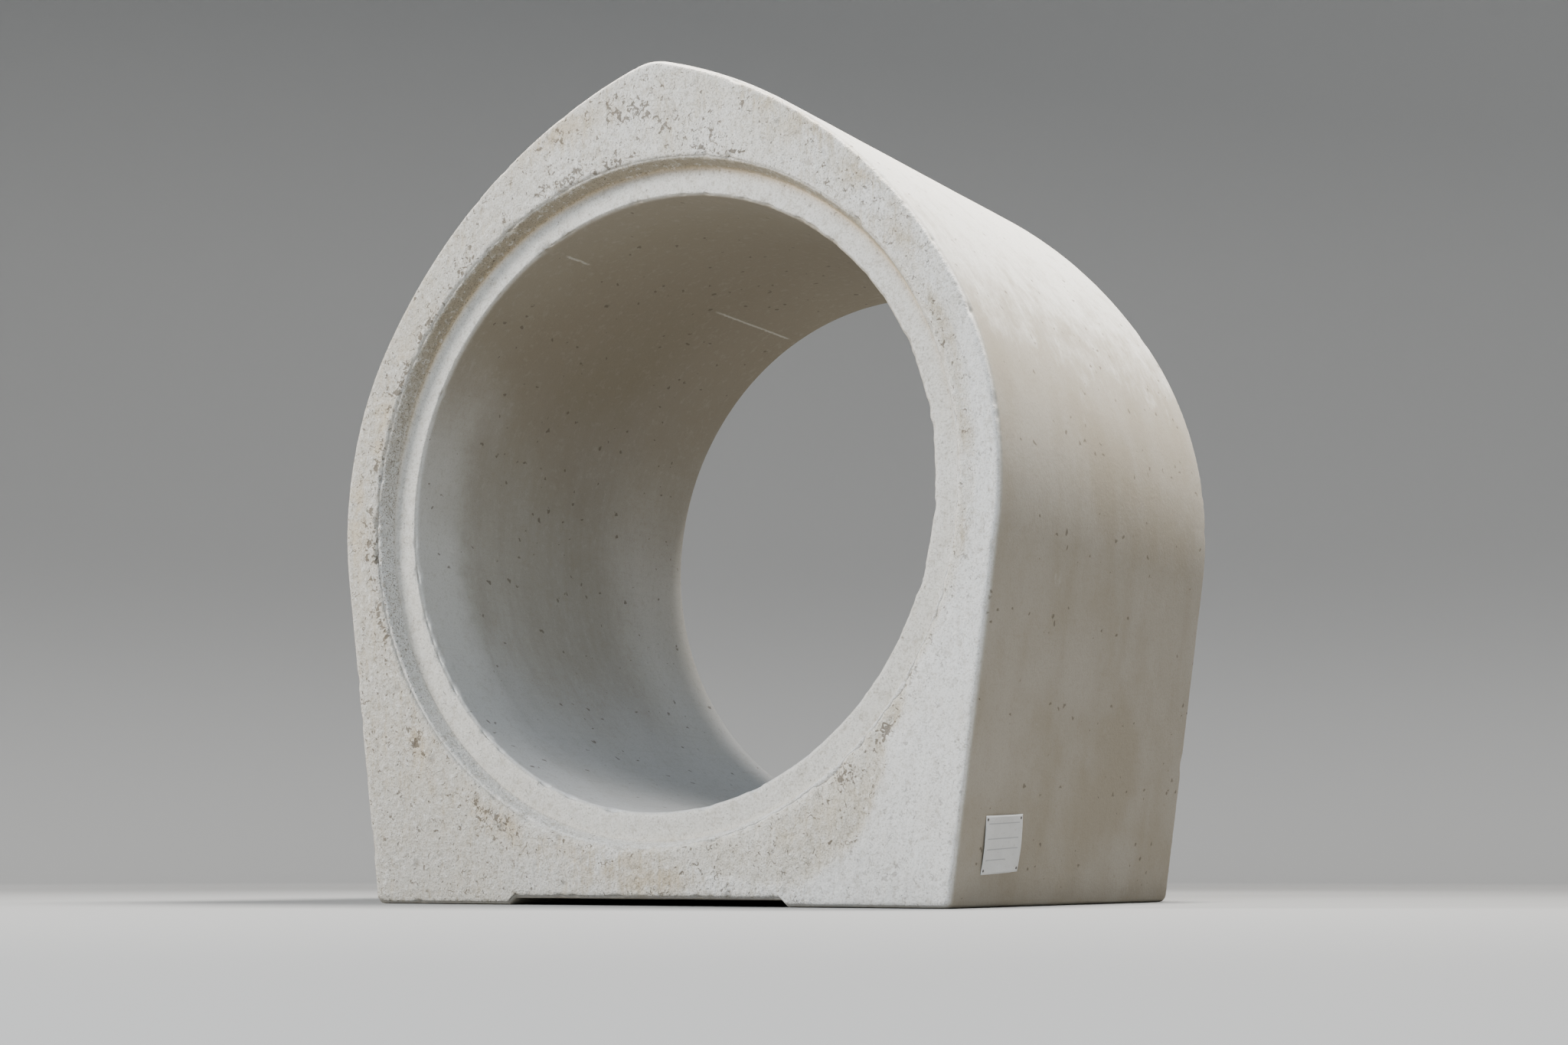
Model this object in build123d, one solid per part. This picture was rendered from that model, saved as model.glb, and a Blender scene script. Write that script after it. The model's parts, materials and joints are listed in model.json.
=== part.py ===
from build123d import *
import math
import os

# Concrete culvert pipe with a flat foot and a pointed crown, cast in one piece.
# Millimetres. The origin is the middle of the foot's underside and +Z is up.
# The bore runs along Y, from the grooved end at -Y to the tongued end at +Y.

# Wall round the bore
bore_diameter = 1200
side_wall = 155
invert_wall = 175
crown_wall = 275

# Crown arcs: where they leave the round sides, in degrees from the top, and the rounding of the ridge
crown_start_angle = 59
ridge_rounding = 120

# Foot
foot_width = 1290
foot_corner_rounding = 15
foot_recess_width = 626
foot_recess_depth = 12
foot_recess_flare = 10

# Length and joint ends
laying_length = 1000
groove_depth = 45
groove_wall = 66
groove_taper = 10
tongue_length = 40
tongue_clearance = 6

# Rounded edges
face_rounding = 7
groove_mouth_rounding = 8
groove_root_rounding = 8
lip_rounding = 8
tongue_rounding = 6

# Radii and levels that follow from the sizes
bore_radius = bore_diameter / 2
side_radius = bore_radius + side_wall
axis_height = bore_radius + invert_wall
ridge_rise = bore_radius + crown_wall
overall_length = laying_length + tongue_length
groove_face_y = -overall_length / 2
tongue_root_y = groove_face_y + laying_length
tongue_tip_y = overall_length / 2
groove_mouth_radius = bore_radius + groove_wall
groove_root_radius = groove_mouth_radius - groove_taper
tongue_root_radius = groove_mouth_radius - tongue_clearance
tongue_tip_radius = groove_root_radius - tongue_clearance


def section_plane(y):
    """Plane across the pipe at this Y, with its own y upwards and its normal towards -Y."""
    return Plane(origin=(0, y, 0), x_dir=(1, 0, 0), z_dir=(0, -1, 0))


def ring(y_from, radius_from, y_to, radius_to):
    """Solid cone frustum on the bore axis, between two values of Y."""
    profile = Polyline(
        (0, y_from, axis_height),
        (radius_from, y_from, axis_height),
        (radius_to, y_to, axis_height),
        (0, y_to, axis_height),
        close=True,
    )
    axis = Axis((0, 0, axis_height), (0, 1, 0))
    return revolve(make_face(profile), axis, 360)


def edges_on_circle(solid, radius, y):
    """Edges of the solid that lie on a circle about the bore axis at this Y."""
    found = ShapeList()
    for edge in solid.edges().filter_by(GeomType.CIRCLE):
        centre = edge.arc_center
        on_axis = abs(centre.X) < 0.01 and abs(centre.Z - axis_height) < 0.01
        if on_axis and abs(centre.Y - y) < 0.01 and abs(edge.radius - radius) < 0.01:
            found.append(edge)
    return found


# Outline across the pipe, with the bore axis at the level axis_height.
# Each side is part of a circle about the bore axis. Above it, a wider arc
# leans inwards to the ridge, and below it a straight flank runs to the foot.
crown_start = math.radians(crown_start_angle)
arc_shift = (ridge_rise**2 - side_radius**2) / (2 * (side_radius - ridge_rise * math.cos(crown_start)))
crown_radius = side_radius + arc_shift
crown_centre_x = arc_shift * math.sin(crown_start)
crown_centre_z = axis_height - arc_shift * math.cos(crown_start)
ridge_centre_z = crown_centre_z + math.sqrt((crown_radius - ridge_rounding) ** 2 - crown_centre_x**2)
ridge_top_z = ridge_centre_z + ridge_rounding
ridge_lean = math.atan2(crown_centre_x, ridge_centre_z - crown_centre_z)

half_foot = foot_width / 2
foot_reach = math.hypot(half_foot, axis_height)
flank_angle = math.atan2(axis_height, half_foot) - math.acos(side_radius / foot_reach)


def on_sides(degrees_from_top):
    """Point of the right side's circle at this angle from the top."""
    angle = math.radians(degrees_from_top)
    return (side_radius * math.sin(angle), axis_height + side_radius * math.cos(angle))


def on_crown(lean):
    """Point of the right crown arc where it leans by this angle from level."""
    return (crown_radius * math.sin(lean) - crown_centre_x, crown_centre_z + crown_radius * math.cos(lean))


flank_top = 90 + math.degrees(flank_angle)
right_foot = (half_foot, 0)
right_flank = on_sides(flank_top)
right_side = on_sides((crown_start_angle + flank_top) / 2)
right_shoulder = on_sides(crown_start_angle)
right_crown = on_crown((crown_start + ridge_lean) / 2)
right_ridge = on_crown(ridge_lean)


def mirrored(point):
    """The same point on the left."""
    return (-point[0], point[1])


outline = [
    Line(right_foot, right_flank),
    ThreePointArc(right_flank, right_side, right_shoulder),
    ThreePointArc(right_shoulder, right_crown, right_ridge),
    ThreePointArc(right_ridge, (0, ridge_top_z), mirrored(right_ridge)),
    ThreePointArc(mirrored(right_ridge), mirrored(right_crown), mirrored(right_shoulder)),
    ThreePointArc(mirrored(right_shoulder), mirrored(right_side), mirrored(right_flank)),
    Line(mirrored(right_flank), mirrored(right_foot)),
    Line(mirrored(right_foot), right_foot),
]
section = make_face(outline)
foot_corners = section.vertices().group_by(Axis.Y)[0]
section = fillet(foot_corners, foot_corner_rounding)

# Barrel with both end faces' outer edges rounded
barrel = extrude(section_plane(tongue_root_y) * section, laying_length)
end_faces = barrel.faces().sort_by(Axis.Y)
barrel = fillet(end_faces[0].edges() + end_faces[-1].edges(), face_rounding)

# Tongue on the far end, then the bore and the groove in the near end
tongue = ring(tongue_root_y, tongue_root_radius, tongue_tip_y, tongue_tip_radius)
bore = ring(groove_face_y - 1, bore_radius, tongue_tip_y + 1, bore_radius)
groove = ring(groove_face_y, groove_mouth_radius, groove_face_y + groove_depth, groove_root_radius)
pipe = barrel + tongue - bore - groove

# Rounded edges of the joint ends, the bore's lips among them
groove_root_y = groove_face_y + groove_depth
pipe = fillet(edges_on_circle(pipe, groove_root_radius, groove_root_y), groove_root_rounding)
pipe = fillet(edges_on_circle(pipe, groove_mouth_radius, groove_face_y), groove_mouth_rounding)
pipe = fillet(edges_on_circle(pipe, bore_radius, groove_root_y), lip_rounding)
pipe = fillet(edges_on_circle(pipe, bore_radius, tongue_tip_y), tongue_rounding)
pipe = fillet(edges_on_circle(pipe, tongue_tip_radius, tongue_tip_y), tongue_rounding)

# Shallow recess along the middle of the foot's underside
half_recess = foot_recess_width / 2
recess_outline = Polyline(
    (-half_recess, 0),
    (half_recess, 0),
    (half_recess - foot_recess_flare, foot_recess_depth),
    (foot_recess_flare - half_recess, foot_recess_depth),
    close=True,
)
recess = extrude(section_plane(tongue_root_y) * make_face(recess_outline), laying_length)
pipe = pipe - recess

pipe.label = "concrete_pipe"
os.makedirs("parts", exist_ok=True)
export_step(pipe, "parts/concrete_pipe.step")
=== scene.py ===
import json
import math
import random
from types import SimpleNamespace

import bmesh
import bpy
import numpy as np
from mathutils import Matrix, Vector, noise


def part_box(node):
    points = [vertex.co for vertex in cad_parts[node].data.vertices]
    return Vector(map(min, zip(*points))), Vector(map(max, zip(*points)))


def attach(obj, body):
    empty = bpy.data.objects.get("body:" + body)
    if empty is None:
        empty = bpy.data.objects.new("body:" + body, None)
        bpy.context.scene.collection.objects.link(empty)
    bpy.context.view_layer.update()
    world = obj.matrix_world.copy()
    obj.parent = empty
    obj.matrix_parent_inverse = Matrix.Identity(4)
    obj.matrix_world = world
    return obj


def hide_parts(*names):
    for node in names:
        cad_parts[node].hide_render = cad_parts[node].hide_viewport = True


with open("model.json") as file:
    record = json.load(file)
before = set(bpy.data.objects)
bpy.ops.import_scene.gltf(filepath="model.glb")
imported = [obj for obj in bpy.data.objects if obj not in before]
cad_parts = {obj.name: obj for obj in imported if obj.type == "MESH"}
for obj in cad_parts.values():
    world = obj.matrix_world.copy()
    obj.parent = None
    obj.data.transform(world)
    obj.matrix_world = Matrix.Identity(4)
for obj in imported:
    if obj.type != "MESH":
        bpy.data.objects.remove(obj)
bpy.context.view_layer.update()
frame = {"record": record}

# The pipe
# It is one casting of stiff, earth-moist concrete, vibrated in an upright steel mould and stripped at
# once. The mould leaves the bore and the outside smooth, and the struck end faces stay open and crumbly.
pipe_low, pipe_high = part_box("concrete_pipe")
mounts = {mount["name"]: mount for mount in frame["record"]["mounts"]}


def mount_size(name, size):
    """A mount's radius or length in metres."""
    return mounts[name]["dims"][size] / 1000


bore_radius = mount_size("bore", "r_mm")
groove_mouth_radius = mount_size("groove", "r_mm")
groove_depth = mount_size("groove", "length_mm")
tongue_tip_radius = mount_size("tongue", "r_mm")
tongue_length = mount_size("tongue", "length_mm")
axis_height = mounts["bore"]["pos_m"][2]
side_radius = pipe_high.x
crown_wall = 0.275
ridge_rise = bore_radius + crown_wall
joint_taper = 0.010
groove_root_radius = groove_mouth_radius - joint_taper
tongue_root_radius = tongue_tip_radius + joint_taper

# Across the pipe: crown arcs, ridge, foot and the recess under the foot
crown_start = math.radians(59)
ridge_rounding = 0.120
half_foot = 0.645
foot_corner_rounding = 0.015
half_recess = 0.313
recess_depth = 0.012
recess_flare = 0.010

# Along the pipe. The struck face lies a little inside its plane, because crumbs stand proud of it.
face_skin = 0.0022
mould_skin = 0.0008
front_y = pipe_low.y + face_skin
shoulder_y = pipe_low.y + groove_depth
tongue_root_y = pipe_high.y - tongue_length - face_skin
tongue_tip_y = pipe_high.y - mould_skin

# Each corner of the ring's section: radius, Y, rounding and how many facets round it
edge_rounding = 0.008
outer_rounding = 0.012
mouth_rounding = 0.010
tip_rounding = 0.006
tongue_root_rounding = 0.003
section_corners = (
    (side_radius, front_y, outer_rounding, 7),
    (groove_mouth_radius, front_y, mouth_rounding, 6),
    (groove_root_radius, shoulder_y, edge_rounding, 5),
    (bore_radius, shoulder_y, edge_rounding, 6),
    (bore_radius, tongue_tip_y, tip_rounding, 4),
    (tongue_tip_radius, tongue_tip_y, tip_rounding, 4),
    (tongue_root_radius, tongue_root_y, tongue_root_rounding, 2),
    (side_radius, tongue_root_y, edge_rounding, 5),
)
# Rows of faces along each side of the section, in the same order
section_rows = (44, 10, 16, 56, 8, 8, 14, 54)
steps_in_eighth = 165

# Sides of the section longer than this are cut into rows; those of the barrel's length crowd at its ends
shortest_side = 0.012
barrel_side = 0.5
crowding = 0.72


def closer_at_ends(share):
    """Spreads even rows so that they lie closer at both ends."""
    return share - crowding * math.sin(2 * math.pi * share) / (2 * math.pi)


def ring_section():
    """The wire outline of the ring's section, right of the bore axis and level with it."""
    bm = bmesh.new()
    corners = [bm.verts.new((radius, y, axis_height)) for radius, y, _, _ in section_corners]
    bm.faces.new(corners)
    for corner, (_, _, rounding, facets) in zip(corners, section_corners):
        bmesh.ops.bevel(
            bm, geom=[corner], offset=rounding, segments=facets, profile=0.5, affect="VERTICES", material=-1
        )
    bmesh.ops.delete(bm, geom=bm.faces[:], context="FACES_ONLY")
    for side in [edge for edge in bm.edges if edge.calc_length() > shortest_side]:
        first, last = side.verts[0].co.copy(), side.verts[1].co.copy()
        made = bmesh.ops.subdivide_edges(bm, edges=[side], cuts=nearest_rows(first, last) - 1)
        for vert in [piece for piece in made["geom_inner"] if isinstance(piece, bmesh.types.BMVert)]:
            share = (vert.co - first).length / (last - first).length
            if (last - first).length > barrel_side:
                share = closer_at_ends(share)
            vert.co = first.lerp(last, share)
    return bm


def nearest_rows(first, last):
    """How many rows the side between these points has, by the section side that it lies on."""
    middle = (first + last) / 2
    ends = zip(section_corners, section_corners[1:] + section_corners[:1])
    away = [math.hypot((a[0] + b[0]) / 2 - middle.x, (a[1] + b[1]) / 2 - middle.y) for a, b in ends]
    return section_rows[away.index(min(away))]


def reach_to_circle(angle, centre_across, centre_up, radius):
    """How far from the bore axis a ray at this angle from the top leaves a circle."""
    along = centre_across * np.sin(angle) + centre_up * np.cos(angle)
    missed = centre_across**2 + centre_up**2 - along**2
    return along + np.sqrt(np.maximum(radius**2 - missed, 0))


def outline_reach(angle):
    """The outside's distance from the bore axis, by the angle from the top, the same on both sides."""
    shift = (ridge_rise**2 - side_radius**2) / (2 * (side_radius - ridge_rise * math.cos(crown_start)))
    crown_radius = side_radius + shift
    crown_across, crown_up = -shift * math.sin(crown_start), -shift * math.cos(crown_start)
    ridge_up = crown_up + math.sqrt((crown_radius - ridge_rounding) ** 2 - crown_across**2)
    ridge_edge = math.atan2(-crown_across, ridge_up - crown_up)
    touch_across = crown_radius * math.sin(ridge_edge) + crown_across
    touch_up = crown_radius * math.cos(ridge_edge) + crown_up
    foot_distance = math.hypot(half_foot, axis_height)
    flank_lean = math.atan2(axis_height, half_foot) - math.acos(side_radius / foot_distance)
    flank_start = math.pi / 2 + flank_lean
    corner_up = foot_corner_rounding - axis_height
    corner_across = side_radius - foot_corner_rounding + corner_up * math.sin(flank_lean)
    corner_across /= math.cos(flank_lean)
    corner_start = math.atan2(
        corner_across + foot_corner_rounding * math.cos(flank_lean),
        corner_up - foot_corner_rounding * math.sin(flank_lean),
    )
    corner_end = math.atan2(corner_across, -axis_height)
    recess_outer = math.atan2(half_recess, -axis_height)
    recess_inner = math.atan2(half_recess - recess_flare, recess_depth - axis_height)
    return np.select(
        [
            angle < math.atan2(touch_across, touch_up),
            angle < crown_start,
            angle < flank_start,
            angle < corner_start,
            angle < corner_end,
            angle < recess_outer,
            angle < recess_inner,
        ],
        [
            reach_to_circle(angle, 0, ridge_up, ridge_rounding),
            reach_to_circle(angle, crown_across, crown_up, crown_radius),
            np.full_like(angle, side_radius),
            side_radius / np.maximum(np.cos(angle - flank_start), 0.1),
            reach_to_circle(angle, corner_across, corner_up, foot_corner_rounding),
            axis_height / np.maximum(-np.cos(angle), 0.1),
            np.interp(angle, (recess_outer, recess_inner), (
                math.hypot(half_recess, axis_height),
                math.hypot(half_recess - recess_flare, axis_height - recess_depth),
            )),
        ],
        (axis_height - recess_depth) / np.maximum(-np.cos(angle), 0.1),
    )


def cast_ring():
    """The ring: its section spun through an eighth of a turn, then doubled three times."""
    bm = ring_section()
    centre = (0, 0, axis_height)
    bmesh.ops.spin(
        bm, geom=bm.verts[:] + bm.edges[:], cent=centre, axis=(0, 1, 0),
        angle=math.pi / 4, steps=steps_in_eighth,
    )
    for turn in (math.pi / 4, math.pi / 2, math.pi):
        copy = bmesh.ops.duplicate(bm, geom=bm.verts[:] + bm.edges[:] + bm.faces[:])["geom"]
        turned = [piece for piece in copy if isinstance(piece, bmesh.types.BMVert)]
        bmesh.ops.rotate(bm, verts=turned, cent=centre, matrix=Matrix.Rotation(turn, 3, "Y"))
    bmesh.ops.remove_doubles(bm, verts=bm.verts[:], dist=0.00002)
    bmesh.ops.recalc_face_normals(bm, faces=bm.faces[:])
    mesh = bpy.data.meshes.new("pipe")
    bm.to_mesh(mesh)
    bm.free()
    return mesh


def read_points(mesh):
    """The mesh's points as rows of X, Y and Z."""
    points = np.empty(len(mesh.vertices) * 3)
    mesh.vertices.foreach_get("co", points)
    return points.reshape(-1, 3)


def read_normals(mesh):
    """The direction in which the surface faces at each point."""
    normals = np.empty(len(mesh.vertices) * 3)
    mesh.vertex_normals.foreach_get("vector", normals)
    return normals.reshape(-1, 3)


pipe_mesh = cast_ring()
points = read_points(pipe_mesh)
across, along, up = points[:, 0], points[:, 1], points[:, 2] - axis_height
ring_reach = np.hypot(across, up)
share_out = np.clip(
    (ring_reach - groove_mouth_radius - edge_rounding)
    / (side_radius - groove_mouth_radius - 2 * edge_rounding), 0, 1
)
drawn_out = outline_reach(np.arctan2(np.abs(across), up)) - side_radius - mould_skin
drawn_out = 1 + drawn_out * share_out / ring_reach
points[:, 0] = across * drawn_out
points[:, 2] = axis_height + up * drawn_out
pipe_mesh.vertices.foreach_set("co", points.ravel())
pipe_mesh.update()
normals = read_normals(pipe_mesh)

# Where each point lies, for the finish: angle from the top, clockwise, and distance from the bore axis
across, along, up = points[:, 0].copy(), points[:, 1].copy(), points[:, 2] - axis_height
reach = np.hypot(across, up)
angle = np.degrees(np.arctan2(across, up))


def fade(value, start, end):
    """Goes smoothly from 0 at start to 1 at end."""
    share = np.clip((value - start) / (end - start), 0, 1)
    return share * share * (3 - 2 * share)


on_front = fade(-normals[:, 1], 0.55, 0.95) * fade(along, front_y + 0.012, front_y + 0.004)
on_back = fade(normals[:, 1], 0.55, 0.95) * fade(along, tongue_root_y - 0.012, tongue_root_y - 0.004)
in_bore = fade(ring_reach, bore_radius + 0.006, bore_radius + 0.001)
within_groove = (ring_reach < groove_mouth_radius + 0.001) * (along < shoulder_y + 0.01)
in_groove = (1 - in_bore) * (1 - on_front) * within_groove
on_shoulder = in_groove * fade(-normals[:, 1], 0.55, 0.95)
on_groove_wall = in_groove - on_shoulder
on_outside = fade(ring_reach, side_radius - 0.004, side_radius - 0.001)


def marks(places):
    """How strongly each point lies in soft oval patches, given by angle, radius, length round and width."""
    strength = np.zeros(len(points))
    for degrees, radius, length, width in places:
        turned = (angle - degrees + 180) % 360 - 180
        round_away = np.radians(turned) * radius / length
        out_away = (reach - radius) / width
        strength = np.maximum(strength, np.exp(-(round_away**2) - out_away**2))
    return strength


# Crumbled strips along the groove's mouth, and patches of short cracks higher on the crown and by the foot
crumbled = marks((
    (-8, 0.682, 0.070, 0.016), (-15, 0.684, 0.050, 0.016), (-22, 0.692, 0.030, 0.014),
    (10, 0.694, 0.030, 0.020), (16, 0.682, 0.050, 0.009), (-66, 0.681, 0.070, 0.014),
    (-80, 0.683, 0.080, 0.018), (-94, 0.683, 0.080, 0.018), (-54, 0.682, 0.060, 0.012),
    (-108, 0.681, 0.060, 0.012), (-42, 0.681, 0.060, 0.009),
    (122, 0.682, 0.040, 0.010), (132, 0.695, 0.030, 0.024),
    (141, 0.694, 0.028, 0.024), (-151, 0.700, 0.040, 0.018), (-130, 0.716, 0.040, 0.020),
))
cracked = marks((
    (-4, 0.782, 0.085, 0.040), (-16, 0.785, 0.045, 0.030), (4, 0.735, 0.050, 0.022),
    (9, 0.710, 0.050, 0.018), (144, 0.883, 0.024, 0.024), (-67, 0.707, 0.020, 0.012),
    (-148, 0.712, 0.050, 0.026), (131, 0.702, 0.026, 0.018),
)) * on_front
stained = marks((
    (-16, 0.790, 0.090, 0.030), (52, 0.706, 0.060, 0.018), (65, 0.692, 0.060, 0.014),
    (82, 0.690, 0.070, 0.012), (100, 0.690, 0.060, 0.014), (132, 0.700, 0.080, 0.030),
    (143, 0.740, 0.070, 0.035), (152, 0.715, 0.080, 0.030), (-172, 0.700, 0.120, 0.030),
    (178, 0.730, 0.120, 0.030), (-151, 0.700, 0.070, 0.030), (-130, 0.720, 0.050, 0.030),
    (-76, 0.690, 0.120, 0.012), (40, 0.735, 0.110, 0.022), (20, 0.800, 0.090, 0.035),
    (-24, 0.825, 0.120, 0.026), (-38, 0.790, 0.130, 0.022), (-52, 0.760, 0.110, 0.018),
    (31, 0.772, 0.100, 0.045), (-88, 0.722, 0.150, 0.022), (-66, 0.700, 0.090, 0.014),
))

# Many of the bore's air holes lie in one broad slanting band on its left
pocked = marks(((-72, bore_radius, 0.30, 0.1),)) * in_bore * fade(-np.abs(along + 0.12), -0.30, -0.10)


def near_edge(radius, y, out_width, along_width):
    """1 on an edge that runs round the ring, fading to 0 beside it."""
    return np.exp(-(((ring_reach - radius) / out_width) ** 2) - ((along - y) / along_width) ** 2)


def at_points(wanted, measure):
    """The measure of each wanted point, and 0 at the others."""
    values = np.zeros(len(points))
    chosen = np.flatnonzero(wanted)
    values[chosen] = [measure(Vector(point)) for point in points[chosen].tolist()]
    return values


def soft_noise(wanted, scale, seed):
    """Smooth noise from -1 to 1, with bumps about 1 / scale metres wide."""
    start = Vector((seed, 2.7 * seed, 5.3 * seed))
    return at_points(wanted, lambda point: noise.noise(point * scale + start))


def crumb_noise(wanted, size, seed):
    """0 in the gaps between crumbs of about this size, rising towards the middle of each."""
    start = Vector((seed, 1.9 * seed, 3.1 * seed))

    def thickness(point):
        nearest = noise.voronoi(point / size + start)[0]
        return min(1.0, 1.6 * (nearest[1] - nearest[0]))

    return at_points(wanted, thickness)


def pit_noise(wanted, size, seed):
    """Depth of scattered round pits, from 0 to 1, one at most for each cube of this size."""
    start = Vector((seed, 1.3 * seed, 2.1 * seed))

    def depth(point):
        distances, centres = noise.voronoi(point / size + start)
        radius = 0.07 + 0.22 * max(0.0, noise.cell(centres[0] * 57.3)) ** 2
        return math.sqrt(max(0.0, 1 - (distances[0] / radius) ** 2))

    return at_points(wanted, depth)


everywhere = np.ones(len(points), bool)
near_ends = (along < shoulder_y + 0.014) | (along > tongue_root_y - 0.02)
swell = 0.0009 * soft_noise(everywhere, 5, 3) + 0.0005 * soft_noise(everywhere, 14, 8)
rough = on_front + 0.8 * on_back + 0.8 * on_groove_wall + 0.25 * on_shoulder
lumps = soft_noise(near_ends, 55, 12)
grain = soft_noise(near_ends, 130, 21)

# Up the right side a rough, lower strip lies beside the groove and widens into a patch near the foot. The
# band outside it was smoothed over, which left a torn ledge between them. Beside the strip the groove's
# mouth is ground down.
patch_edge = np.interp(
    angle,
    (36, 50, 66, 82, 99, 110, 118, 124, 132, 144, 156, 172),
    (0.672, 0.704, 0.702, 0.696, 0.692, 0.684, 0.676, 0.680, 0.704, 0.796, 0.812, 0.700),
)
patch_share = fade(angle, 36, 60) * (0.45 + 0.55 * fade(angle, 110, 124)) * fade(-angle, -175, -165)
patch_share *= on_front
patch_edge += 0.012 * soft_noise(on_front > 0.01, 15, 31) + 0.004 * lumps
in_patch = fade(patch_edge - reach, -0.010, 0.012) * patch_share
smoothed = fade(reach - patch_edge, -0.004, 0.016) * fade(angle, 50, 75) * fade(-angle, -160, -150)
smoothed *= on_front
ground_down = fade(angle, 92, 118) * fade(-angle, -172, -156)
ground_down *= near_edge(groove_mouth_radius, front_y, 0.016, 0.012)
torn_ledge = np.exp(-(((reach - patch_edge) / 0.009) ** 2))
torn_ledge *= fade(angle, 112, 126) * fade(-angle, -162, -152)
torn_ledge *= fade(soft_noise(on_front > 0.01, 26, 47), -0.10, 0.35) * on_front
cracked = np.maximum(cracked, 0.9 * torn_ledge)
rolling = soft_noise(on_front > 0.01, 24, 44) * fade(angle, 96, 120) * fade(-angle, -170, -150)
crumbs = crumb_noise((crumbled > 0.02) | (cracked > 0.02), 0.011, 5)
pits = pit_noise(rough > 0.02, 0.034, 9)

# Heights and depths of the relief in metres
lump_height = 0.00060
grain_height = 0.00045
pit_depth = 0.0024
crumb_height = 0.0024
crumb_hollow = 0.0016
crack_height = 0.0018
crack_hollow = 0.0013
rolling_height = 0.0024
ledge_height = 0.0012
patch_depth = 0.0022
smoothed_height = 0.0009
mouth_wear = 0.0042
mouth_wear_lumps = 0.0024
groove_lump_height = 0.0011
groove_grain_height = 0.0010

relief = swell * (0.4 + 0.6 * rough)
relief += (in_patch + 0.5 * smoothed) * rolling_height * rolling + ledge_height * torn_ledge
relief += rough * (lump_height * lumps + grain_height * grain)
relief -= rough * (1 - smoothed) * pit_depth * pits
coarse = fade(angle, -128, -104) * fade(-angle, -12, 10)
relief += on_groove_wall * coarse * (groove_lump_height * lumps + groove_grain_height * grain)
relief += crumbled * (crumb_height * crumbs - crumb_hollow)
relief += cracked * (crack_height * crumbs - crack_hollow)
relief -= patch_depth * in_patch * (1 + 0.5 * lumps)
relief += smoothed_height * smoothed
relief -= ground_down * (mouth_wear + mouth_wear_lumps * lumps)


def worn_depth(evenly, by_lumps, by_grain):
    """How deep an edge is worn in metres: all along it, where a lump broke away, and grain by grain."""
    return evenly + by_lumps * lumps + by_grain * grain


# Worn edges: a ragged line all round, and chips where the edge was knocked
outer_edge = near_edge(side_radius, front_y, 0.007, 0.007)
outer_edge += near_edge(side_radius, tongue_root_y, 0.007, 0.007)
mouth_edge = near_edge(groove_mouth_radius, front_y, 0.007, 0.007)
lip_edge = near_edge(bore_radius, shoulder_y, 0.006, 0.006)
relief -= outer_edge * worn_depth(0.0010, 0.0005, 0.0011)
relief -= mouth_edge * (worn_depth(0.0012, 0.0022, 0.0014) + 0.0012 * crumbled)
relief -= mouth_edge * coarse * worn_depth(0.0010, 0.0022, 0.0026)
relief -= lip_edge * worn_depth(0.0009, 0.0016, 0.0012)

chance = random.Random(41)
chips = []
for count, radius, y, smallest, largest in (
    (34, side_radius, front_y, 0.005, 0.013),
    (18, side_radius, tongue_root_y, 0.005, 0.015),
    (44, bore_radius, shoulder_y, 0.006, 0.017),
    (44, groove_mouth_radius, front_y, 0.006, 0.017),
):
    for _ in range(count):
        chips.append((radius, y, chance.uniform(-180, 180), chance.uniform(smallest, largest)))
for _ in range(16):
    beside_foot = chance.choice((-1, 1)) * chance.uniform(142, 178)
    chips.append((side_radius, front_y, beside_foot, chance.uniform(0.006, 0.012)))
largest_chip = (bore_radius, shoulder_y, -27.5, 0.022)
chips.append(largest_chip)
depth_of_chip = 0.42
for radius, y, degrees, size in chips:
    turned = (angle - degrees + 180) % 360 - 180
    round_away = np.radians(turned) * reach * (0.6 + 0.2 * lumps)
    away = np.sqrt(round_away**2 + (ring_reach - radius) ** 2 + (along - y) ** 2)
    relief -= depth_of_chip * size * fade(-away, -size, 0) * (1 + 0.5 * grain)

points += normals * relief[:, None]
points = np.clip(points, np.array(pipe_low), np.array(pipe_high))
pipe_mesh.vertices.foreach_set("co", points.ravel())

# What the finish reads at each point
painted_shares = {
    "struck": on_front + on_back,
    "bore": in_bore,
    "groove_wall": on_groove_wall,
    "shoulder": on_shoulder,
    "outside": on_outside,
    # The relief's pits, darkened in the finish with painted shade and dirt
    "hollow": np.clip(rough * pits * (1 - smoothed), 0, 1),
    "cracked": np.maximum(cracked, 1.3 * crumbled),
    "stained": stained,
    "smoothed": smoothed,
    "patch": in_patch,
    "corner": near_edge(groove_root_radius, shoulder_y, 0.007, 0.006),
    # Edges, paler in the finish for wear and a painted highlight
    "worn": np.clip(outer_edge + 0.6 * mouth_edge + 0.8 * lip_edge, 0, 1),
    # Where the outside faces upwards, for the painted sunlight on its top
    "washed": on_outside * fade(normals[:, 2], 0.10, 0.75),
    "pocked": pocked,
    "coarse": on_groove_wall * coarse,
}
for name, shares in painted_shares.items():
    layer = pipe_mesh.attributes.new(name, "FLOAT", "POINT")
    layer.data.foreach_set("value", shares.astype(np.float32))

pipe = bpy.data.objects.new("pipe", pipe_mesh)
bpy.context.scene.collection.objects.link(pipe)
thinned = pipe.modifiers.new("thinned", "DECIMATE")
wanted_triangles = 188000
thinned.ratio = wanted_triangles / (2 * len(pipe_mesh.polygons))
bpy.context.view_layer.update()
pipe.data = bpy.data.meshes.new_from_object(pipe.evaluated_get(bpy.context.evaluated_depsgraph_get()))
pipe.data.name = "pipe"
pipe.modifiers.clear()
kept_points = np.clip(read_points(pipe.data), np.array(pipe_low), np.array(pipe_high))
pipe.data.vertices.foreach_set("co", kept_points.ravel())
pipe.data.polygons.foreach_set("use_smooth", [True] * len(pipe.data.polygons))


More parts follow.
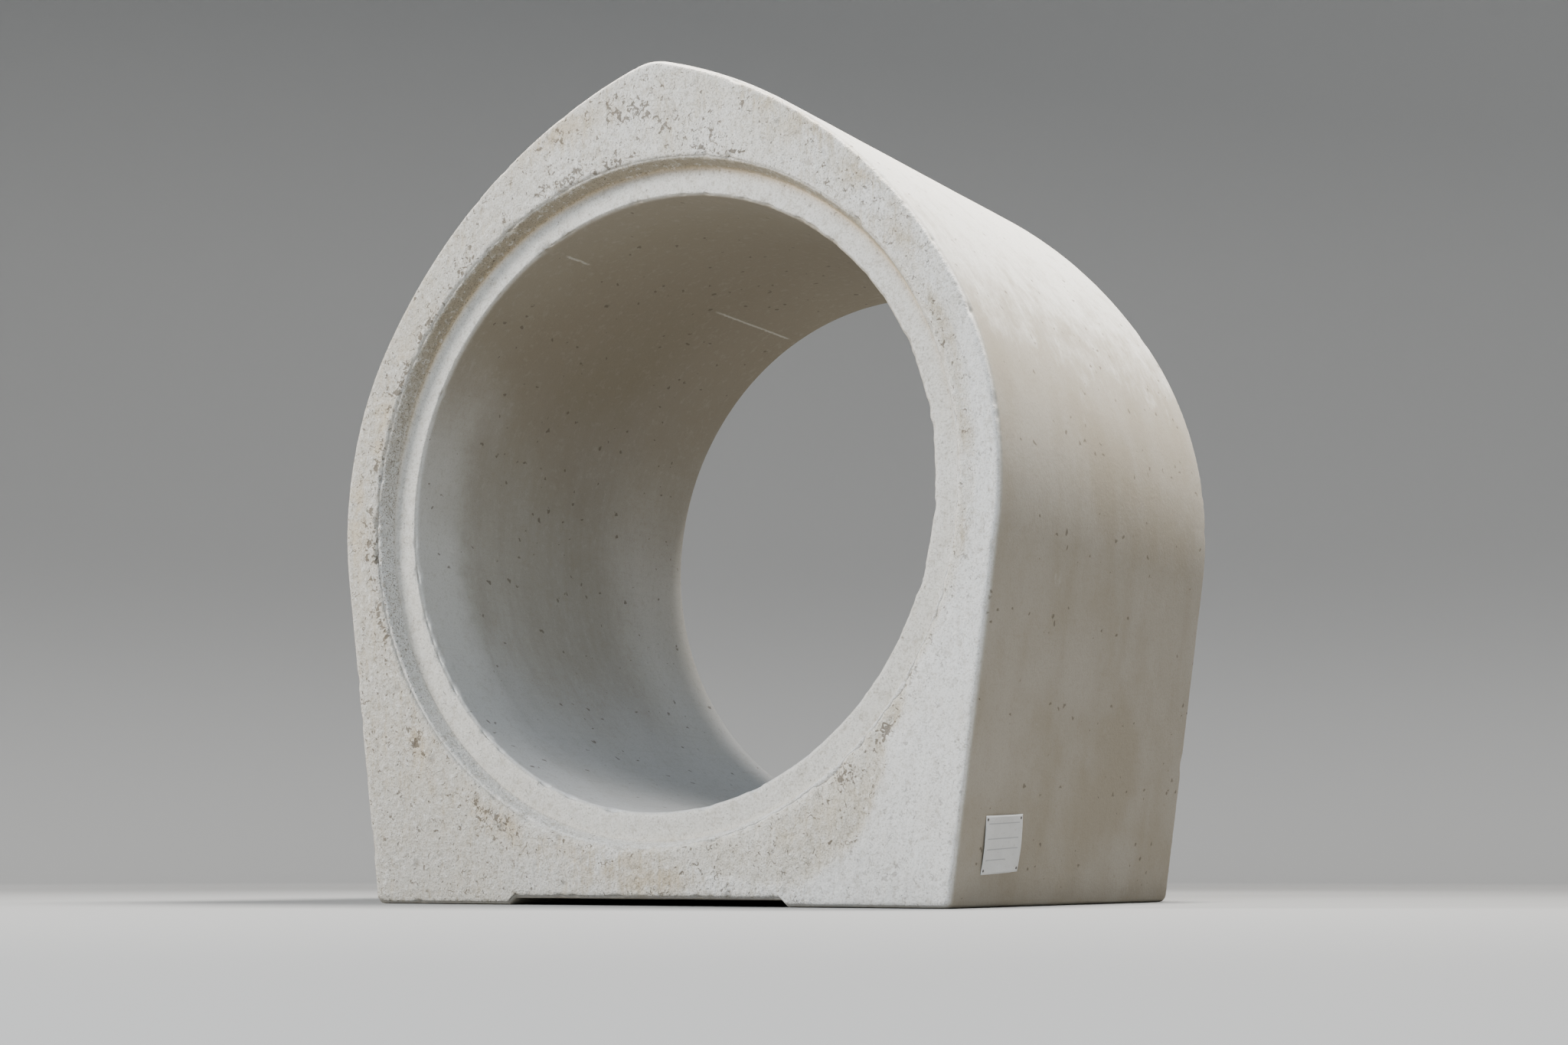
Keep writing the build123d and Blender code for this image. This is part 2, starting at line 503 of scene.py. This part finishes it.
class Shader:
    """A material's nodes, added one by one. An input is a number, a colour or another node's output."""

    def __init__(self, name):
        self.material = bpy.data.materials.new(name)
        self.material.use_nodes = True
        self.tree = self.material.node_tree
        self.tree.nodes.clear()

    def add(self, kind, inputs=None, **settings):
        node = self.tree.nodes.new("ShaderNode" + kind)
        for key, value in settings.items():
            setattr(node, key, value)
        for key, value in (inputs or {}).items():
            if isinstance(value, bpy.types.NodeSocket):
                self.tree.links.new(value, node.inputs[key])
            else:
                node.inputs[key].default_value = value
        return node

    def maths(self, operation, first, second=0.0):
        return self.add("Math", {0: first, 1: second}, operation=operation).outputs[0]

    def plus(self, first, second):
        return self.maths("ADD", first, second)

    def minus(self, first, second):
        return self.maths("SUBTRACT", first, second)

    def times(self, first, second):
        return self.maths("MULTIPLY", first, second)

    def larger(self, first, second):
        return self.maths("MAXIMUM", first, second)

    def distance(self, first, second):
        return self.maths("ABSOLUTE", self.minus(first, second))

    def swing(self, pattern, width):
        """Turns a pattern between 0 and 1 into one that swings about 0."""
        return self.times(self.minus(pattern, 0.5), width)

    def fade(self, value, start, end, low=0.0, high=1.0):
        levels = {"Value": value, "From Min": start, "From Max": end, "To Min": low, "To Max": high}
        return self.add("MapRange", levels, interpolation_type="SMOOTHSTEP").outputs["Result"]

    def mix(self, share, first, second):
        colours = {0: share, 6: first, 7: second}
        return self.add("Mix", colours, data_type="RGBA", clamp_factor=True).outputs[2]

    def painted(self, name):
        return self.add("Attribute", attribute_name=name).outputs["Fac"]

    def noise(self, where, scale, detail=3.0, rough=0.55):
        settings = {"Vector": where, "Scale": scale, "Detail": detail, "Roughness": rough}
        return self.add("TexNoise", settings).outputs[0]

    def noise_colour(self, where, scale):
        return self.add("TexNoise", {"Vector": where, "Scale": scale, "Detail": 0.0}).outputs["Color"]

    def stretched(self, where, scale):
        return self.add("VectorMath", {0: where, 1: scale}, operation="MULTIPLY").outputs[0]

    def shifted(self, where, colour, distance):
        away = self.add("VectorMath", {0: colour, 1: (0.5, 0.5, 0.5)}, operation="SUBTRACT").outputs[0]
        away = self.add("VectorMath", {0: away, "Scale": 2 * distance}, operation="SCALE").outputs[0]
        return self.add("VectorMath", {0: where, 1: away}, operation="ADD").outputs[0]

    def holes(self, where, scale, smallest, largest, rarity):
        """Round holes of unlike sizes, in metres, one at most for each Voronoi cell."""
        cells = self.add("TexVoronoi", {"Vector": where, "Scale": scale})
        chance = self.add("SeparateColor", {0: cells.outputs["Color"]}).outputs[0]
        size = self.fade(chance, rarity, 1.0, 0.0, (largest - smallest) * scale)
        size = self.plus(size, smallest * scale)
        shape = self.maths("DIVIDE", cells.outputs["Distance"], size)
        return self.times(self.fade(shape, 1.0, 0.55), self.maths("GREATER_THAN", chance, rarity))

    def finish(self, surface, height=None, distance=0.001):
        out = self.add("OutputMaterial")
        if height is not None:
            bump = self.add("Bump", {"Height": height, "Distance": distance, "Strength": 1.0})
            self.tree.links.new(bump.outputs[0], surface.inputs["Normal"])
        self.tree.links.new(surface.outputs[0], out.inputs["Surface"])
        return self.material


# Colours of the concrete: the struck ends, the bore, the outside, the groove, then its grain and holes
struck_grey = (0.700, 0.684, 0.648, 1)
struck_tan = (0.610, 0.578, 0.512, 1)
# Painted shade: the struck face darker and warmer towards its left
left_face_shade = (0.455, 0.430, 0.378, 1)
brown_streak = (0.440, 0.380, 0.285, 1)
washed_out_tan = (0.470, 0.385, 0.260, 1)
rough_patch = (0.545, 0.503, 0.420, 1)
smoothed_paste = (0.760, 0.755, 0.740, 1)
# The bore's own tones, darker than the struck faces partly for its closer skin and partly as painted shade
bore_grey = (0.395, 0.380, 0.345, 1)
bore_dun = (0.350, 0.330, 0.286, 1)
mould_ring = (0.240, 0.218, 0.178, 1)
# Painted shade deeper inside the bore
bore_depth_shade = (0.200, 0.176, 0.132, 1)
# Painted light near each end of the bore
bore_end_light = (0.620, 0.612, 0.580, 1)
# Painted shade, browner, at the top of the bore
bore_top_shade = (0.230, 0.195, 0.136, 1)
# Painted sky light, pale and bluish, low in the bore
bore_bottom_skylight = (0.520, 0.526, 0.534, 1)
lime_line = (0.600, 0.570, 0.500, 1)
drag_mark = (0.230, 0.202, 0.152, 1)
bore_fleck = (0.600, 0.575, 0.515, 1)
# The outside's own tones, darker than the struck faces partly for its mould skin and partly as painted shade
outside_grey = (0.372, 0.342, 0.288, 1)
outside_dun = (0.318, 0.282, 0.220, 1)
outside_stain = (0.280, 0.243, 0.178, 1)
# Painted sunlight on the upward faces of the outside
painted_top_light = (0.650, 0.635, 0.590, 1)
# Painted sky light on the groove's lower wall
groove_low_skylight = (0.620, 0.610, 0.582, 1)
# Painted shade with dirt on the groove's upper wall
groove_top_shade_and_dirt = (0.275, 0.234, 0.160, 1)
shoulder_grey = (0.610, 0.590, 0.545, 1)
corner_tan = (0.520, 0.385, 0.215, 1)
# Edges paler for wear and a painted highlight
worn_edge_and_highlight = (0.740, 0.720, 0.670, 1)
pale_grain = (0.790, 0.775, 0.735, 1)
grain_shade = (0.280, 0.240, 0.175, 1)
sand_shade = (0.200, 0.170, 0.125, 1)
pale_speck = (0.830, 0.820, 0.790, 1)
# Painted shade and dirt in holes, torn spots, cracks and pits
hole_shade_and_dirt = (0.105, 0.083, 0.058, 1)

# Two thin lime lines run along the bore, this far to the left of its top
lime_angle = math.radians(27)


def concrete_patterns(s, where):
    """The noises that the concrete's colour and grain share, from clouds a third of a metre wide to sand."""
    return SimpleNamespace(
        clouds=s.noise(where, 3.2, 3.0, 0.6),
        blots=s.noise(where, 13.0, 4.0, 0.66),
        mottle=s.noise(where, 62.0, 3.0, 0.68),
        lumpy=s.noise(where, 120.0, 2.0, 0.6),
        sand=s.noise(where, 300.0, 2.0, 0.7),
        upright=s.noise(s.stretched(where, (1.0, 1.0, 0.12)), 85.0, 2.0, 0.6),
        drag=s.noise(s.stretched(where, (1.0, 0.05, 1.0)), 95.0, 2.0, 0.6),
        rings=s.noise(s.stretched(where, (0.10, 1.0, 0.10)), 38.0, 2.0, 0.65),
        broad=s.noise(s.stretched(where, (1.0, 1.0, 0.30)), 6.0, 3.0, 0.6),
    )


def struck_colour(s, pattern, painted, place):
    """The struck faces: pale and mottled, painted shade to the left, tan where cement paste rinsed out,
    upright brown streaks.
    """
    colour = s.mix(s.fade(pattern.clouds, 0.38, 0.66), struck_grey, struck_tan)
    # Painted shade, darker and warmer towards the left of the struck face
    colour = s.mix(s.fade(place["X"], 0.30, -0.60, 0.0, 0.85), colour, left_face_shade)
    streaks = s.larger(s.fade(pattern.blots, 0.44, 0.58, 0.10, 0.45), s.times(painted.stained, 0.8))
    colour = s.mix(s.times(s.fade(pattern.upright, 0.50, 0.64), streaks), colour, brown_streak)
    tan_share = s.plus(s.times(painted.stained, 0.60), 0.10)
    colour = s.mix(s.times(s.fade(pattern.blots, 0.40, 0.60), tan_share), colour, washed_out_tan)
    colour = s.mix(s.times(painted.patch, 0.55), colour, rough_patch)
    return s.mix(s.times(painted.smoothed, 0.60), colour, smoothed_paste)


def lime_lines(s, pattern, painted, place, along_pipe):
    """Where the two lime lines lie: a short one behind the lip and a long one near the far end."""
    beside = s.plus(
        s.times(place["X"], math.cos(lime_angle)),
        s.times(s.minus(place["Z"], axis_height), math.sin(lime_angle)),
    )
    beside = s.maths("ABSOLUTE", s.plus(beside, s.swing(pattern.mottle, 0.006)))
    on_line = s.times(s.fade(beside, 0.0036, 0.0012), s.maths("GREATER_THAN", place["Z"], axis_height))
    short_line = s.fade(s.distance(along_pipe, front_y + 0.145), 0.050, 0.030)
    long_line = s.fade(s.distance(along_pipe, front_y + 0.830), 0.170, 0.130)
    return s.times(s.times(on_line, painted.bore), s.larger(short_line, long_line))


def bore_colour(s, pattern, painted, place):
    """The bore: closer and darker, partly painted shade; browner painted shade high and deep in; painted
    light at the ends and low.
    """
    # The bore's tones: partly its closer skin, partly painted shade
    wall = s.mix(s.fade(pattern.clouds, 0.36, 0.66), bore_grey, bore_dun)
    wall = s.mix(s.fade(pattern.rings, 0.40, 0.66, 0.0, 0.16), wall, mould_ring)
    # Painted shade: darker further into the bore
    wall = s.mix(s.fade(place["Y"], front_y + 0.22, front_y + 0.62, 0.0, 0.42), wall, bore_depth_shade)
    along_pipe = s.plus(place["Y"], s.swing(pattern.blots, 0.12))
    up_wall = s.plus(place["Z"], s.swing(pattern.clouds, 0.28))
    # Painted light: paler near each end of the bore, more so low down
    near_end_light = s.fade(along_pipe, front_y + 0.25, front_y + 0.13)
    far_end_light = s.fade(along_pipe, front_y + 0.64, front_y + 0.88, 0.0, 0.65)
    band = s.larger(near_end_light, far_end_light)
    band = s.times(band, s.fade(up_wall, axis_height + 0.40, axis_height - 0.10, 0.30, 0.72))
    wall = s.mix(s.times(band, painted.bore), wall, bore_end_light)
    # Painted shade: browner and darker at the top of the bore
    wall = s.mix(s.fade(up_wall, axis_height - 0.05, axis_height + 0.50, 0.0, 0.85), wall, bore_top_shade)
    # Painted sky light: paler and bluish low in the bore
    wall = s.mix(s.fade(up_wall, axis_height - 0.15, axis_height - 0.55, 0.0, 0.66), wall, bore_bottom_skylight)
    wall = s.mix(s.times(lime_lines(s, pattern, painted, place, along_pipe), 0.6), wall, lime_line)
    wall = s.mix(s.fade(pattern.drag, 0.48, 0.30, 0.0, 0.07), wall, drag_mark)
    return s.mix(s.fade(pattern.mottle, 0.52, 0.72, 0.0, 0.10), wall, bore_fleck)


def outside_colour(s, pattern, painted):
    """The outside: dun and softly stained on the flanks, partly painted shade; paler facing upwards, painted
    sunlight.
    """
    # The flank's tones: partly its mould skin, partly painted shade
    flank = s.mix(s.fade(pattern.clouds, 0.36, 0.66), outside_grey, outside_dun)
    flank = s.mix(s.fade(pattern.broad, 0.42, 0.70, 0.0, 0.42), flank, outside_stain)
    # Painted sunlight: paler where the outside faces upwards, broken up by noise
    top_light = s.plus(painted.washed, s.swing(pattern.blots, 1.6))
    top_light = s.plus(top_light, s.swing(pattern.upright, 0.4))
    return s.mix(s.fade(top_light, 0.20, 1.00, 0.0, 0.82), flank, painted_top_light)


def groove_colour(s, painted, place, colour):
    """Adds the groove: paler low, browner high (painted sky light and shade, with dirt), a tan corner line,
    worn, highlit edges.
    """
    # Painted sky light low in the groove, painted shade with dirt towards its top
    high = s.fade(place["Z"], axis_height - 0.10, axis_height + 0.45)
    colour = s.mix(s.times(painted.groove_wall, 0.85), colour, s.mix(high, groove_low_skylight, groove_top_shade_and_dirt))
    colour = s.mix(s.times(painted.shoulder, 0.7), colour, shoulder_grey)
    corner_share = s.times(painted.corner, s.plus(s.times(high, 0.55), 0.15))
    colour = s.mix(corner_share, colour, corner_tan)
    # Edges paler for wear and a painted highlight
    return s.mix(s.times(painted.worn, 0.45), colour, worn_edge_and_highlight)


def concrete():
    """Pale, warm grey concrete: struck ends open and sandy, mould faces closed with air holes."""
    s = Shader("concrete")
    where = s.add("TexCoord").outputs["Object"]
    place = s.add("SeparateXYZ", {0: where}).outputs
    painted = SimpleNamespace(**{name: s.painted(name) for name in painted_shares})
    pattern = concrete_patterns(s, where)
    moulded = s.larger(painted.bore, painted.outside)
    open_faces = s.larger(s.larger(painted.struck, painted.groove_wall), s.times(painted.shoulder, 0.55))
    open_faces = s.minus(open_faces, s.times(painted.smoothed, 0.50))
    wall = bore_colour(s, pattern, painted, place)
    wall = s.mix(painted.outside, wall, outside_colour(s, pattern, painted))
    colour = s.mix(moulded, struck_colour(s, pattern, painted, place), wall)
    colour = groove_colour(s, painted, place, colour)

    # Grain at three sizes, stronger where the surface is open, darker in the bump's hollows: painted shade
    # with dirt
    strength = s.plus(s.times(open_faces, 0.62), 0.38)
    pale = s.times(s.fade(pattern.mottle, 0.53, 0.70, 0.0, 0.42), open_faces)
    colour = s.mix(pale, colour, pale_grain)
    shade = s.times(s.fade(pattern.mottle, 0.48, 0.30, 0.0, 0.52), strength)
    colour = s.mix(shade, colour, grain_shade)
    strength = s.plus(strength, s.times(painted.coarse, 0.8))
    colour = s.mix(s.times(s.fade(pattern.sand, 0.52, 0.30, 0.0, 0.65), strength), colour, sand_shade)
    specks = s.times(s.fade(pattern.lumpy, 0.62, 0.76, 0.0, 0.42), open_faces)
    colour = s.mix(specks, colour, pale_speck)

    # Pinholes, torn spots and short cracks on the struck faces, air holes on the mould faces
    ragged = s.shifted(where, s.noise_colour(where, 90.0), 0.006)
    pinholes = s.times(s.holes(ragged, 105.0, 0.0010, 0.0028, 0.78), s.times(open_faces, 0.8))
    rarity = s.minus(0.50, s.times(painted.pocked, 0.46))
    air_holes = s.holes(s.stretched(ragged, (1.0, 0.6, 1.0)), 44.0, 0.0013, 0.0050, rarity)
    air_holes = s.times(s.times(air_holes, moulded), 0.85)
    likely = s.times(painted.cracked, 0.16)
    torn = s.fade(s.plus(s.noise(ragged, 74.0, 2.0, 0.6), likely), 0.685, 0.730)
    broken = s.fade(s.plus(s.noise(where, 58.0, 0.0), likely), 0.61, 0.66)
    cracks = s.times(s.fade(s.distance(s.noise(ragged, 34.0, 2.0, 0.6), 0.5), 0.022, 0.008), broken)
    torn = s.times(s.larger(torn, cracks), s.minus(painted.struck, s.times(painted.smoothed, 0.5)))
    # Painted shade with dirt: holes, torn spots, cracks and the relief's pits darkened
    dark = s.larger(s.larger(s.larger(pinholes, air_holes), torn), s.times(painted.hollow, 0.45))
    colour = s.mix(s.times(dark, 0.80), colour, hole_shade_and_dirt)

    height = s.plus(s.times(pattern.sand, 1.1), s.times(pattern.lumpy, 2.4))
    height = s.times(s.plus(height, s.times(pattern.mottle, 3.0)), s.plus(s.times(open_faces, 0.88), 0.12))
    height = s.minus(height, s.times(pinholes, 2.2))
    surface = s.add("BsdfPrincipled", {"Base Color": colour, "Roughness": 0.9, "Specular IOR Level": 0.35})
    return s.finish(surface, height)


pipe.data.materials.append(concrete())
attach(pipe, "root")
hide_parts("concrete_pipe")

# The paper label
# A sheet of A6 card with nothing printed but ruled lines, tacked by its corners to the right flank after
# the casting had hardened. Rain has cockled it a little between the tacks.
sheet_length = 0.148
sheet_height = 0.105
sheet_thickness = 0.0005
sheet_middle = Vector((0, -0.344, 0.113))
sheet_turn = math.radians(2.5)
sheet_gap = 0.0006
sheet_cockle = 0.0016
tack_inset = 0.007
tack_radius = 0.0027
tack_lift = 0.0013


def on_flank():
    """Places a flat piece on the right flank, its X along the pipe, its Y upwards and its Z outwards."""
    foot_distance = math.hypot(half_foot, axis_height)
    lean = math.atan2(axis_height, half_foot) - math.acos(side_radius / foot_distance)
    outwards = Vector((math.cos(lean), 0, -math.sin(lean)))
    upwards = Vector((math.sin(lean), 0, math.cos(lean)))
    place = sheet_middle.copy()
    place.x = (side_radius - (place.z - axis_height) * outwards.z) / outwards.x
    columns = Matrix((Vector((0, 1, 0)), upwards, outwards)).transposed().to_4x4()
    return Matrix.Translation(place) @ columns @ Matrix.Rotation(sheet_turn, 4, "Z")


def label_sheet():
    """The sheet, held flat at its four tacks and lifting a little between them."""
    bm = bmesh.new()
    bm.loops.layers.uv.new("sheet")
    bmesh.ops.create_grid(bm, x_segments=36, y_segments=26, size=0.5, calc_uvs=True)
    bmesh.ops.scale(bm, vec=(sheet_length, sheet_height, 1), verts=bm.verts[:])
    for vert in bm.verts:
        share_x, share_y = abs(vert.co.x) / (sheet_length / 2), abs(vert.co.y) / (sheet_height / 2)
        free = 1 - (share_x * share_y) ** 2
        cockle = 0.5 + 0.5 * noise.noise(vert.co * 32 + Vector((3, 8, 1)))
        bow = max(0, share_x**4 + share_y**4 - 2 * (share_x * share_y) ** 4)
        vert.co.z = sheet_gap + free * (sheet_cockle * cockle + sheet_cockle * bow)
    bmesh.ops.solidify(bm, geom=bm.faces[:], thickness=sheet_thickness)
    bmesh.ops.recalc_face_normals(bm, faces=bm.faces[:])
    bmesh.ops.transform(bm, matrix=on_flank(), verts=bm.verts[:])
    mesh = bpy.data.meshes.new("label")
    bm.to_mesh(mesh)
    bm.free()
    return mesh


def tack_heads():
    """Four low domed heads, one at each corner of the sheet."""
    bm = bmesh.new()
    for across_sign in (-1, 1):
        for up_sign in (-1, 1):
            head = bmesh.ops.create_uvsphere(bm, u_segments=20, v_segments=10, radius=tack_radius)["verts"]
            bmesh.ops.scale(bm, vec=(1, 1, 0.45), verts=head)
            corner = (
                across_sign * (sheet_length / 2 - tack_inset),
                up_sign * (sheet_height / 2 - tack_inset),
                tack_lift,
            )
            bmesh.ops.translate(bm, vec=corner, verts=head)
    bmesh.ops.transform(bm, matrix=on_flank(), verts=bm.verts[:])
    mesh = bpy.data.meshes.new("label_tacks")
    bm.to_mesh(mesh)
    bm.free()
    return mesh


def card():
    """Matt white card, greyed by weather, with a few thin ruled lines and no print."""
    s = Shader("card")
    where = s.add("UVMap", uv_map="sheet").outputs[0]
    place = s.add("SeparateXYZ", {0: where})
    colour = s.mix(s.noise(where, 5.0, 4.0), (0.720, 0.725, 0.720, 1), (0.600, 0.600, 0.580, 1))
    rules = 0.0
    for height, end in ((0.86, 0.92), (0.60, 0.92), (0.42, 0.92), (0.24, 0.60)):
        after_start = s.maths("GREATER_THAN", place.outputs["X"], 0.08)
        before_end = s.maths("LESS_THAN", place.outputs["X"], end)
        on_line = s.fade(s.distance(place.outputs["Y"], height), 0.012, 0.007)
        rules = s.larger(rules, s.times(on_line, s.times(after_start, before_end)))
    colour = s.mix(s.times(rules, 0.55), colour, (0.230, 0.240, 0.260, 1))
    dirt = s.fade(s.noise(where, 14.0, 5.0, 0.65), 0.56, 0.74, 0.0, 0.5)
    colour = s.mix(dirt, colour, (0.400, 0.360, 0.290, 1))
    surface = s.add("BsdfPrincipled", {"Base Color": colour, "Roughness": 0.55})
    return s.finish(surface, s.noise(where, 60.0, 3.0), 0.0001)


def dull_steel():
    """Zinc-plated steel gone dull and dark."""
    s = Shader("dull_steel")
    where = s.add("TexCoord").outputs["Object"]
    colour = s.mix(s.noise(where, 900.0), (0.160, 0.150, 0.140, 1), (0.070, 0.060, 0.050, 1))
    surface = s.add("BsdfPrincipled", {"Base Color": colour, "Roughness": 0.5, "Metallic": 0.6})
    return s.finish(surface)


for name, mesh, material in (("label", label_sheet(), card()), ("label_tacks", tack_heads(), dull_steel())):
    piece = bpy.data.objects.new(name, mesh)
    bpy.context.scene.collection.objects.link(piece)
    mesh.polygons.foreach_set("use_smooth", [True] * len(mesh.polygons))
    mesh.materials.append(material)
    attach(piece, "root")

# The floor and the backdrop
# A plain pale studio floor runs out and sweeps up on every side into one soft wall.
floor_radius = 11.0
cove_radius = 4.0
wall_height = 13.0


def sweep():
    """The floor's middle, its cove and the wall, spun round the vertical."""
    bm = bmesh.new()
    corners = ((0, 0), (floor_radius, 0), (floor_radius, wall_height))
    verts = [bm.verts.new((across, 0, height)) for across, height in corners]
    for a, b in zip(verts, verts[1:]):
        bm.edges.new((a, b))
    bmesh.ops.bevel(
        bm, geom=[verts[1]], offset=cove_radius, segments=16, profile=0.5, affect="VERTICES", material=-1
    )
    bmesh.ops.spin(
        bm, geom=bm.verts[:] + bm.edges[:], cent=(0, 0, 0), axis=(0, 0, 1),
        angle=2 * math.pi, steps=96, use_merge=True,
    )
    bmesh.ops.remove_doubles(bm, verts=bm.verts[:], dist=0.0001)
    bmesh.ops.recalc_face_normals(bm, faces=bm.faces[:])
    mesh = bpy.data.meshes.new("floor")
    bm.to_mesh(mesh)
    bm.free()
    return mesh


def studio_paint():
    """Matt grey paint, darker near the object, paler away from it and darker again up the wall."""
    s = Shader("floor")
    where = s.add("TexCoord").outputs["Object"]
    height = s.add("SeparateXYZ", {0: where}).outputs["Z"]
    level = s.stretched(where, (1.0, 1.0, 0.0))
    away = s.add("VectorMath", {0: level}, operation="LENGTH").outputs["Value"]
    # Darker near the object so that less light bounces back onto it; painted light, paler out on the floor
    # and cove foot
    paint = s.mix(s.fade(away, 3.0, 7.6), (0.26, 0.26, 0.257, 1), (0.66, 0.66, 0.653, 1))
    # Painted shade: darker up the wall, where the lamps reach it more squarely than at the cove's foot
    paint = s.mix(s.fade(height, 0.1, 2.2), paint, (0.44, 0.44, 0.436, 1))
    return s.finish(s.add("BsdfPrincipled", {"Base Color": paint, "Roughness": 0.85}))


floor = bpy.data.objects.new("floor", sweep())
bpy.context.scene.collection.objects.link(floor)
floor.data.polygons.foreach_set("use_smooth", [True] * len(floor.data.polygons))
floor.data.materials.append(studio_paint())

# The light
# A soft key stands high on the left, and a weak bluish fill high in front. A light above the crown
# brightens the top of the outside, and the sky is dim.


def soft_light(name, place, target, size, power, colour):
    """A square area light that faces its target."""
    data = bpy.data.lights.new(name, "AREA")
    data.size = size
    data.energy = power
    data.color = colour
    light = bpy.data.objects.new(name, data)
    light.location = place
    light.rotation_euler = (Vector(target) - Vector(place)).to_track_quat("-Z", "Y").to_euler()
    bpy.context.scene.collection.objects.link(light)


soft_light("key", (-4.0, -4.2, 3.9), (0, -0.5, 0.8), 2.0, 640, (1.0, 0.985, 0.96))
soft_light("fill", (1.6, -5.0, 4.3), (-0.3, 0, 0.3), 2.4, 200, (0.68, 0.83, 1.0))
soft_light("overhead", (1.2, 0.2, 4.9), (0.4, 0, 1.1), 1.2, 850, (1.0, 0.97, 0.93))
sky = bpy.data.worlds.new("sky")
sky.use_nodes = True
sky.node_tree.nodes["Background"].inputs["Color"].default_value = (0.78, 0.88, 1.0, 1)
sky.node_tree.nodes["Background"].inputs["Strength"].default_value = 0.10
bpy.context.scene.world = sky

# The camera
# It looks at the groove end from the right and from below the bore axis, as near to the floor as it
# can stand.
camera_azimuth = math.radians(34.4)
camera_distance = 4.46
camera_height = 0.07
aim = Vector((0, 0, 0.79))
camera_data = bpy.data.cameras.new("camera")
camera_data.sensor_width = 36
camera_data.lens = 54
camera = bpy.data.objects.new("camera", camera_data)
camera.location = (
    camera_distance * math.sin(camera_azimuth),
    pipe_low.y - camera_distance * math.cos(camera_azimuth),
    camera_height,
)
camera.rotation_euler = (aim - camera.location).to_track_quat("-Z", "Y").to_euler()
bpy.context.scene.collection.objects.link(camera)
bpy.context.scene.camera = camera
